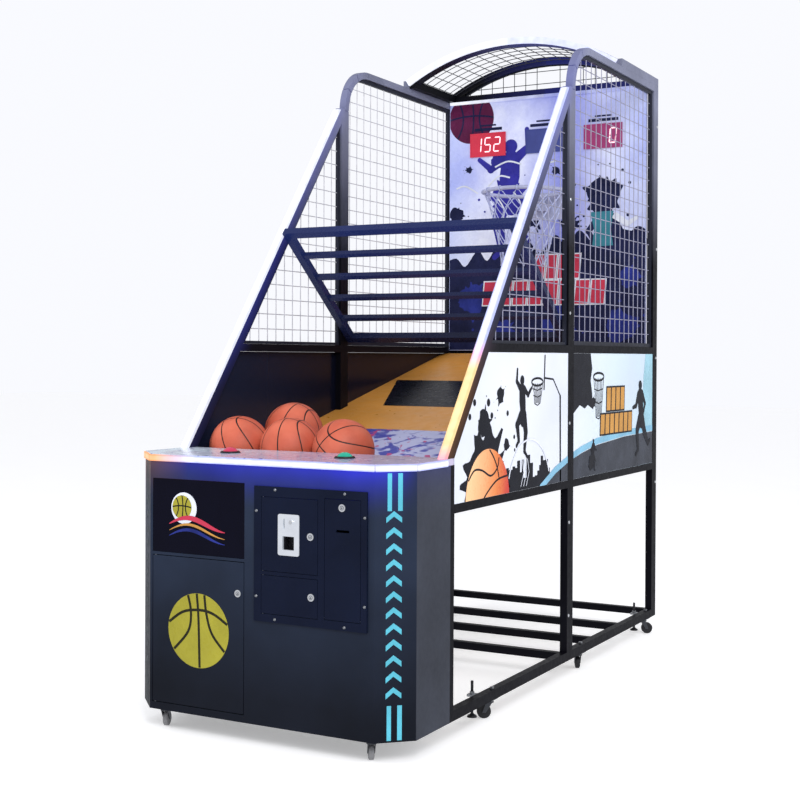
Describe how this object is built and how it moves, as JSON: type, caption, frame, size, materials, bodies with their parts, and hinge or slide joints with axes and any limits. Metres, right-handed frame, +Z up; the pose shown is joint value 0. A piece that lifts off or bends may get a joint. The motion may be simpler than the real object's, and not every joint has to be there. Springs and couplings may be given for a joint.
{
  "type": "basketball arcade machine",
  "caption": "Arcade basketball machine with a coin cabinet, ball tray and ramp, mesh side frames, guard rack, vaulted roof, backboard, hoop and net, on casters.",
  "frame": {"origin": "on the floor, under the centre of the machine's plan", "axes": "+X to the player's right, +Y from the player towards the backboard, +Z up"},
  "size_m": [1.1007, 2.505, 2.72],
  "materials": {
    "cabinet_paint": "gloss printed laminate, near black with a ball picture",
    "deck_print": "gloss printed sheet, pale lavender",
    "bezel_black": "gloss black",
    "button_red": "translucent gloss red",
    "button_green": "translucent gloss green",
    "sign_black": "gloss black display window",
    "door_paint": "satin black powder coat",
    "lock_chrome": "polished",
    "coin_chrome": "polished",
    "mechanism_black": "matte black",
    "steel_bare": "satin zinc plated",
    "board_green": "matte green circuit board",
    "frame_paint": "satin black powder coat",
    "rack_paint": "gloss black enamel",
    "light_diffuser": "frosted diffuser, lit",
    "panel_print": "gloss printed sheet",
    "mesh_paint": "satin grey",
    "roof_mesh_paint": "satin grey",
    "board_print": "gloss printed board, white and indigo",
    "display_window": "dark tinted display window, lit digits",
    "hoop_paint": "gloss white enamel",
    "net_cord": "white cord",
    "ramp_print": "printed board, ochre and blue",
    "ball_skin": "pebbled orange rubber with black seams",
    "foot_black": "matte black",
    "fork_steel": "satin zinc plated",
    "wheel_black": "matte black tread",
    "wheel_grey": "matte light grey tread"
  },
  "bodies": {
    "machine": {"cabinet_shell": "cabinet_paint", "control_deck": "deck_print", "button_bezels": "bezel_black", "sign_panel": "sign_black", "coin_door_frame": "door_paint", "cash_box": "steel_bare", "ticket_dispenser": "mechanism_black", "electronics": "board_green", "power_inlet": "mechanism_black", "side_frames": "frame_paint", "cross_members": "frame_paint", "guard_rack": "rack_paint", "light_strips": "light_diffuser", "side_panels": "panel_print", "side_mesh": "mesh_paint", "roof_frame": "frame_paint", "roof_mesh": "roof_mesh_paint", "backboard": "board_print", "displays": "display_window", "hoop": "hoop_paint", "net": "net_cord", "playfield_ramp": "ramp_print", "frame_hardware": "steel_bare"},
    "service_door": {"service_door": "door_paint"},
    "service_lock": {"service_lock": "lock_chrome"},
    "coin_door": {"coin_door": "door_paint", "coin_plate": "coin_chrome", "coin_mechanism": "mechanism_black"},
    "coin_lock": {"coin_lock": "lock_chrome"},
    "coin_return": {"coin_return_button": "lock_chrome"},
    "cash_door": {"cash_door": "door_paint"},
    "cash_lock": {"cash_lock": "lock_chrome"},
    "ticket_door": {"ticket_door": "door_paint"},
    "ticket_lock": {"ticket_lock": "lock_chrome"},
    "red_button": {"red_button": "button_red"},
    "green_button": {"green_button": "button_green"},
    "ball_left": {"ball_left": "ball_skin"},
    "ball_middle": {"ball_middle": "ball_skin"},
    "ball_right": {"ball_right": "ball_skin"},
    "ball_back": {"ball_back": "ball_skin"},
    "foot_fore_left": {"foot_fore_left": "foot_black"},
    "foot_fore_right": {"foot_fore_right": "foot_black"},
    "foot_rear_left": {"foot_rear_left": "foot_black"},
    "foot_rear_right": {"foot_rear_right": "foot_black"},
    "fork_nose_left": {"fork_nose_left": "fork_steel"},
    "fork_nose_right": {"fork_nose_right": "fork_steel"},
    "fork_fore_left": {"fork_fore_left": "fork_steel"},
    "fork_fore_right": {"fork_fore_right": "fork_steel"},
    "fork_mid_left": {"fork_mid_left": "fork_steel"},
    "fork_mid_right": {"fork_mid_right": "fork_steel"},
    "fork_rear_left": {"fork_rear_left": "fork_steel"},
    "fork_rear_right": {"fork_rear_right": "fork_steel"},
    "wheel_nose_left": {"wheel_nose_left": "wheel_grey"},
    "wheel_nose_right": {"wheel_nose_right": "wheel_grey"},
    "wheel_fore_left": {"wheel_fore_left": "wheel_black"},
    "wheel_fore_right": {"wheel_fore_right": "wheel_black"},
    "wheel_mid_left": {"wheel_mid_left": "wheel_black"},
    "wheel_mid_right": {"wheel_mid_right": "wheel_black"},
    "wheel_rear_left": {"wheel_rear_left": "wheel_black"},
    "wheel_rear_right": {"wheel_rear_right": "wheel_black"}
  },
  "joints": [
    {"name": "service_door_hinge", "type": "hinge", "parent": "machine", "child": "service_door", "pos_m": [-0.419, -1.24, 0.346], "axis": [0, 0, -1], "range_deg": [0, 100]},
    {"name": "service_lock_turn", "type": "hinge", "parent": "service_door", "child": "service_lock", "pos_m": [-0.075, -1.24, 0.493], "axis": [0, 1, 0], "range_deg": [0, 90]},
    {"name": "coin_door_hinge", "type": "hinge", "parent": "machine", "child": "coin_door", "pos_m": [0.0265, -1.2485, 0.698], "axis": [0, 0, -1], "range_deg": [0, 100]},
    {"name": "coin_lock_turn", "type": "hinge", "parent": "coin_door", "child": "coin_lock", "pos_m": [0.21, -1.248, 0.699], "axis": [0, 1, 0], "range_deg": [0, 90]},
    {"name": "coin_return_push", "type": "slide", "parent": "coin_door", "child": "coin_return", "axis": [0, 1, 0], "range_m": [0, 0.004], "stiffness_N_per_m": 300, "springref_m": -0.003},
    {"name": "cash_door_hinge", "type": "hinge", "parent": "machine", "child": "cash_door", "pos_m": [0.0265, -1.2485, 0.501], "axis": [0, 0, -1], "range_deg": [0, 100]},
    {"name": "cash_lock_turn", "type": "hinge", "parent": "cash_door", "child": "cash_lock", "pos_m": [0.213, -1.248, 0.506], "axis": [0, 1, 0], "range_deg": [0, 90]},
    {"name": "ticket_door_hinge", "type": "hinge", "parent": "machine", "child": "ticket_door", "pos_m": [0.328, -1.2485, 0.4465], "axis": [1, 0, 0], "range_deg": [0, 90]},
    {"name": "ticket_lock_turn", "type": "hinge", "parent": "ticket_door", "child": "ticket_lock", "pos_m": [0.327, -1.248, 0.798], "axis": [0, 1, 0], "range_deg": [0, 90]},
    {"name": "red_button_press", "type": "slide", "parent": "machine", "child": "red_button", "axis": [0, 0, -1], "range_m": [0, 0.004], "stiffness_N_per_m": 800, "springref_m": -0.004},
    {"name": "green_button_press", "type": "slide", "parent": "machine", "child": "green_button", "axis": [0, 0, -1], "range_m": [0, 0.004], "stiffness_N_per_m": 800, "springref_m": -0.004},
    {"name": "ball_left_lift", "type": "slide", "parent": "machine", "child": "ball_left", "axis": [0, 0, 1], "range_m": [0, 0.6]},
    {"name": "ball_middle_lift", "type": "slide", "parent": "machine", "child": "ball_middle", "axis": [0, 0, 1], "range_m": [0, 0.6]},
    {"name": "ball_right_lift", "type": "slide", "parent": "machine", "child": "ball_right", "axis": [0, 0, 1], "range_m": [0, 0.6]},
    {"name": "ball_back_lift", "type": "slide", "parent": "machine", "child": "ball_back", "axis": [0, 0, 1], "range_m": [0, 0.6]},
    {"name": "foot_fore_left_screw", "type": "slide", "parent": "machine", "child": "foot_fore_left", "axis": [0, 0, -1], "range_m": [0, 0.0235]},
    {"name": "foot_fore_right_screw", "type": "slide", "parent": "machine", "child": "foot_fore_right", "axis": [0, 0, -1], "range_m": [0, 0.0235]},
    {"name": "foot_rear_left_screw", "type": "slide", "parent": "machine", "child": "foot_rear_left", "axis": [0, 0, -1], "range_m": [0, 0.0235]},
    {"name": "foot_rear_right_screw", "type": "slide", "parent": "machine", "child": "foot_rear_right", "axis": [0, 0, -1], "range_m": [0, 0.0235]},
    {"name": "swivel_nose_left", "type": "hinge", "parent": "machine", "child": "fork_nose_left", "pos_m": [-0.408, -1.2, 0.06], "axis": [0, 0, 1], "continuous": true},
    {"name": "roll_nose_left", "type": "hinge", "parent": "fork_nose_left", "child": "wheel_nose_left", "pos_m": [-0.41416, -1.18309, 0.025], "axis": [0.9397, 0.342, 0], "continuous": true},
    {"name": "swivel_nose_right", "type": "hinge", "parent": "machine", "child": "fork_nose_right", "pos_m": [0.408, -1.2, 0.06], "axis": [0, 0, 1], "continuous": true},
    {"name": "roll_nose_right", "type": "hinge", "parent": "fork_nose_right", "child": "wheel_nose_right", "pos_m": [0.39768, -1.18525, 0.025], "axis": [0.8192, 0.5736, 0], "continuous": true},
    {"name": "swivel_fore_left", "type": "hinge", "parent": "machine", "child": "fork_fore_left", "pos_m": [-0.514, -0.551, 0.06], "axis": [0, 0, 1], "continuous": true},
    {"name": "roll_fore_left", "type": "hinge", "parent": "fork_fore_left", "child": "wheel_fore_left", "pos_m": [-0.52016, -0.56791, 0.025], "axis": [-0.9397, 0.342, 0], "continuous": true},
    {"name": "swivel_fore_right", "type": "hinge", "parent": "machine", "child": "fork_fore_right", "pos_m": [0.514, -0.551, 0.06], "axis": [0, 0, 1], "continuous": true},
    {"name": "roll_fore_right", "type": "hinge", "parent": "fork_fore_right", "child": "wheel_fore_right", "pos_m": [0.49826, -0.55973, 0.025], "axis": [-0.4848, 0.8746, 0], "continuous": true},
    {"name": "swivel_mid_left", "type": "hinge", "parent": "machine", "child": "fork_mid_left", "pos_m": [-0.514, 0.315, 0.06], "axis": [0, 0, 1], "continuous": true},
    {"name": "roll_mid_left", "type": "hinge", "parent": "fork_mid_left", "child": "wheel_mid_left", "pos_m": [-0.505, 0.33059, 0.025], "axis": [0.866, -0.5, 0], "continuous": true},
    {"name": "swivel_mid_right", "type": "hinge", "parent": "machine", "child": "fork_mid_right", "pos_m": [0.514, 0.315, 0.06], "axis": [0, 0, 1], "continuous": true},
    {"name": "roll_mid_right", "type": "hinge", "parent": "fork_mid_right", "child": "wheel_mid_right", "pos_m": [0.50527, 0.33074, 0.025], "axis": [0.8746, 0.4848, 0], "continuous": true},
    {"name": "swivel_rear_left", "type": "hinge", "parent": "machine", "child": "fork_rear_left", "pos_m": [-0.514, 1.143, 0.06], "axis": [0, 0, 1], "continuous": true},
    {"name": "roll_rear_left", "type": "hinge", "parent": "fork_rear_left", "child": "wheel_rear_left", "pos_m": [-0.52016, 1.15991, 0.025], "axis": [0.9397, 0.342, 0], "continuous": true},
    {"name": "swivel_rear_right", "type": "hinge", "parent": "machine", "child": "fork_rear_right", "pos_m": [0.514, 1.143, 0.06], "axis": [0, 0, 1], "continuous": true},
    {"name": "roll_rear_right", "type": "hinge", "parent": "fork_rear_right", "child": "wheel_rear_right", "pos_m": [0.52959, 1.152, 0.025], "axis": [0.5, -0.866, 0], "continuous": true}
  ]
}
